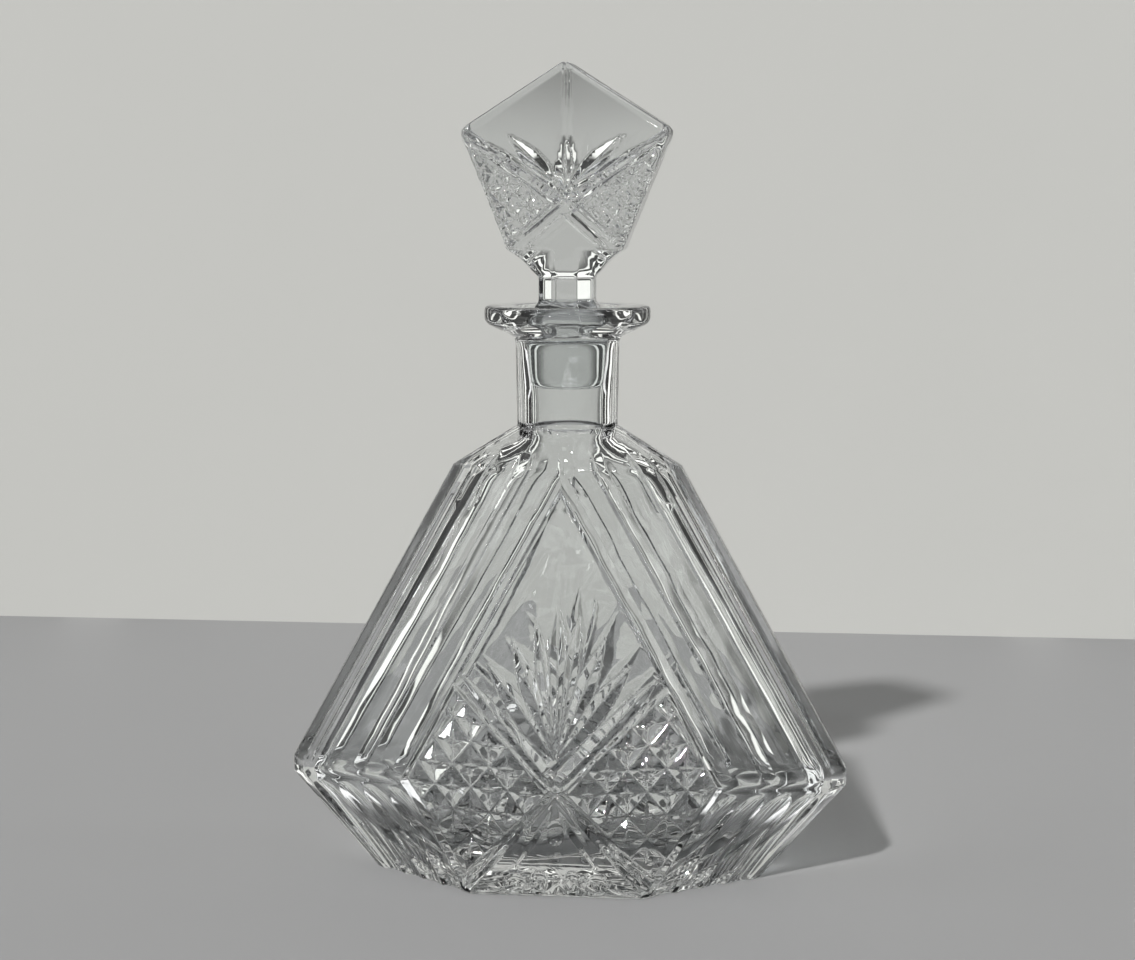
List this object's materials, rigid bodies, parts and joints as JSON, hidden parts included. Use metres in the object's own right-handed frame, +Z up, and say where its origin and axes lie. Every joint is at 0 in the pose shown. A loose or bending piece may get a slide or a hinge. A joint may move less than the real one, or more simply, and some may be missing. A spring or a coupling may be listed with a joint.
{
  "type": "wine decanter",
  "caption": "Flattened triangular wine decanter in clear pressed glass, with fan and diamond relief, fluted sides, a wide round lip and a pentagonal glass stopper that lifts out.",
  "frame": {"origin": "centre of the flat underside of the base", "axes": "+Z up through the neck and stopper, +X to the right along the wide belt, the two pattern faces look along -Y and +Y"},
  "size_m": [0.177, 0.066, 0.2561],
  "materials": {
    "body_glass": "fire-polished clear pressed glass",
    "stopper_glass": "fire-polished clear pressed glass"
  },
  "bodies": {
    "decanter": {"decanter_body": "body_glass"},
    "stopper": {"stopper": "stopper_glass"}
  },
  "joints": [
    {"name": "stopper_lift", "type": "slide", "parent": "decanter", "child": "stopper", "axis": [0, 0, 1], "range_m": [0, 0.045]}
  ]
}
